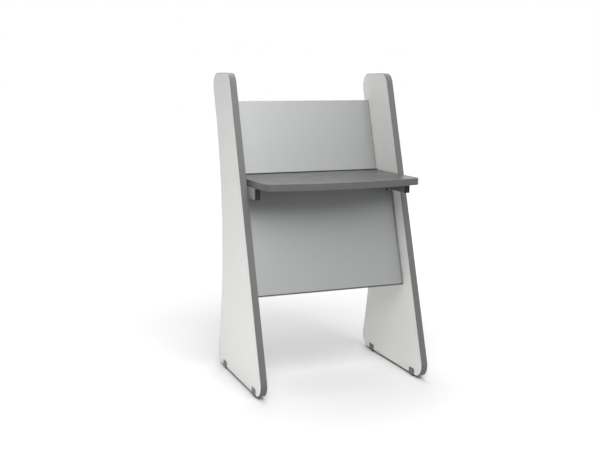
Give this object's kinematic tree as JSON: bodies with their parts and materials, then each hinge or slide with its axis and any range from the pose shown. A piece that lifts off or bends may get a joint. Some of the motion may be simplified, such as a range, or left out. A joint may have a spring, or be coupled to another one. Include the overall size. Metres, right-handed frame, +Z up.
{
  "type": "study carrel",
  "caption": "Stand-up study carrel: leaning side panels with hollow backs, a bow-fronted worktop on box-section arms, an upper and a lower sheet panel, and saddle feet with levelling glides.",
  "frame": {"origin": "middle of the part on the floor, under the glide pads", "axes": "+X to the right of a person at the worktop, +Y to the back, +Z up"},
  "size_m": [0.816, 0.6659, 1.4],
  "materials": {
    "panel_white": "white melamine-faced board, fine satin grain",
    "edge_grey": "grey plastic edge band, matt",
    "top_grey": "grey laminate-faced board, matt",
    "satin_silver": "satin silver powder coat on sheet and tube",
    "black_plastic": "black moulded plastic",
    "black_rubber": "black rubber strip",
    "black_steel": "blackened steel",
    "trim_grey": "dark grey push-on trim",
    "saddle_grey": "grey painted sheet metal",
    "zinc": "zinc-plated steel"
  },
  "bodies": {
    "carrel": {"left_panel_board": "panel_white", "right_panel_board": "panel_white", "left_edge_band": "edge_grey", "right_edge_band": "edge_grey", "worktop_board": "top_grey", "worktop_edge_band": "edge_grey", "worktop_rear_seal": "black_rubber", "left_arm": "satin_silver", "right_arm": "satin_silver", "left_arm_front_cap": "black_plastic", "right_arm_front_cap": "black_plastic", "left_arm_rear_cap": "black_plastic", "right_arm_rear_cap": "black_plastic", "arm_bolts": "zinc", "arm_inserts": "zinc", "worktop_bolts": "black_steel", "worktop_inserts": "zinc", "upper_back_panel": "satin_silver", "upper_panel_screws": "zinc", "lower_front_panel": "satin_silver", "lower_panel_trim": "trim_grey", "lower_panel_screws": "zinc", "lower_panel_plugs": "black_plastic", "left_front_saddle": "saddle_grey", "left_rear_saddle": "saddle_grey", "right_front_saddle": "saddle_grey", "right_rear_saddle": "saddle_grey", "saddle_screws": "zinc", "foot_inserts": "zinc"},
    "left_front_foot": {"left_front_stud": "zinc", "left_front_pad": "black_plastic"},
    "left_rear_foot": {"left_rear_stud": "zinc", "left_rear_pad": "black_plastic"},
    "right_front_foot": {"right_front_stud": "zinc", "right_front_pad": "black_plastic"},
    "right_rear_foot": {"right_rear_stud": "zinc", "right_rear_pad": "black_plastic"}
  },
  "joints": [
    {"name": "left_front_level", "type": "slide", "parent": "carrel", "child": "left_front_foot", "axis": [0, 0, -1], "range_m": [-0.0009, 0.012]},
    {"name": "left_rear_level", "type": "slide", "parent": "carrel", "child": "left_rear_foot", "axis": [0, 0, -1], "range_m": [-0.0009, 0.012]},
    {"name": "right_front_level", "type": "slide", "parent": "carrel", "child": "right_front_foot", "axis": [0, 0, -1], "range_m": [-0.0009, 0.012]},
    {"name": "right_rear_level", "type": "slide", "parent": "carrel", "child": "right_rear_foot", "axis": [0, 0, -1], "range_m": [-0.0009, 0.012]}
  ]
}
